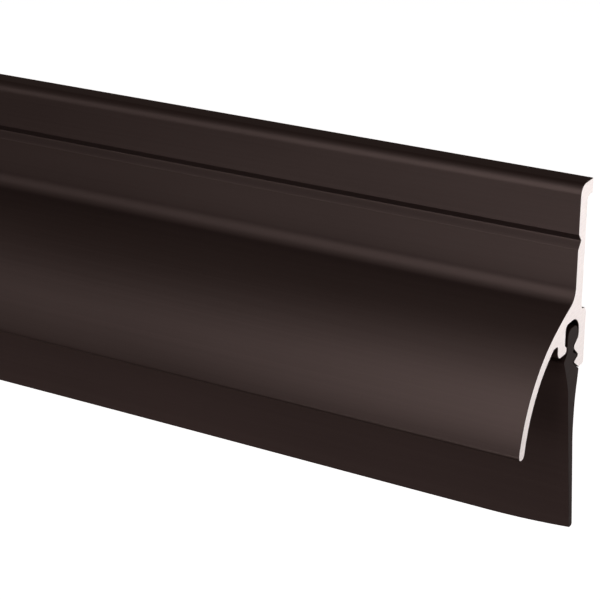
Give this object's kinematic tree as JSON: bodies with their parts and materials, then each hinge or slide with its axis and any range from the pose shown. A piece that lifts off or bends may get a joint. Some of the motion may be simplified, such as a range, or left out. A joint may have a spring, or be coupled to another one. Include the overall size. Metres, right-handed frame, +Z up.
{
  "type": "door sweep",
  "caption": "Door sweep: an aluminium rail with a convex drip cap, screwed to a door's foot, holding a slide-in vinyl insert whose thin fin wipes the sill.",
  "frame": {"origin": "on the door's face, at mid-length, on the screw line", "axes": "+X along the rail, +Y into the door along the screws, +Z up"},
  "size_m": [0.9144, 0.0361, 0.0544],
  "materials": {
    "bronze_rail": "dark bronze satin anodised, bare on the cut ends",
    "firm_vinyl": "satin extruded vinyl",
    "soft_vinyl": "satin extruded vinyl, flexible",
    "bronze_screw": "satin, dark bronze to match the rail"
  },
  "bodies": {
    "fixings": {"screws": "bronze_screw"},
    "rail": {"carrier": "bronze_rail"},
    "insert": {"seal_spline": "firm_vinyl"},
    "fin": {"seal_fin": "soft_vinyl"}
  },
  "joints": [
    {"name": "height_adjust", "type": "slide", "parent": "fixings", "child": "rail", "axis": [0, 0, 1], "range_m": [-0.0024, 0.0024]},
    {"name": "insert_slide", "type": "slide", "parent": "rail", "child": "insert", "axis": [1, 0, 0], "range_m": [0, 0.92]},
    {"name": "fin_flex", "type": "hinge", "parent": "insert", "child": "fin", "pos_m": [0, -0.0037, -0.0224], "axis": [1, 0, 0], "range_deg": [-35, 30], "stiffness_Nm_per_rad": 0.08}
  ]
}
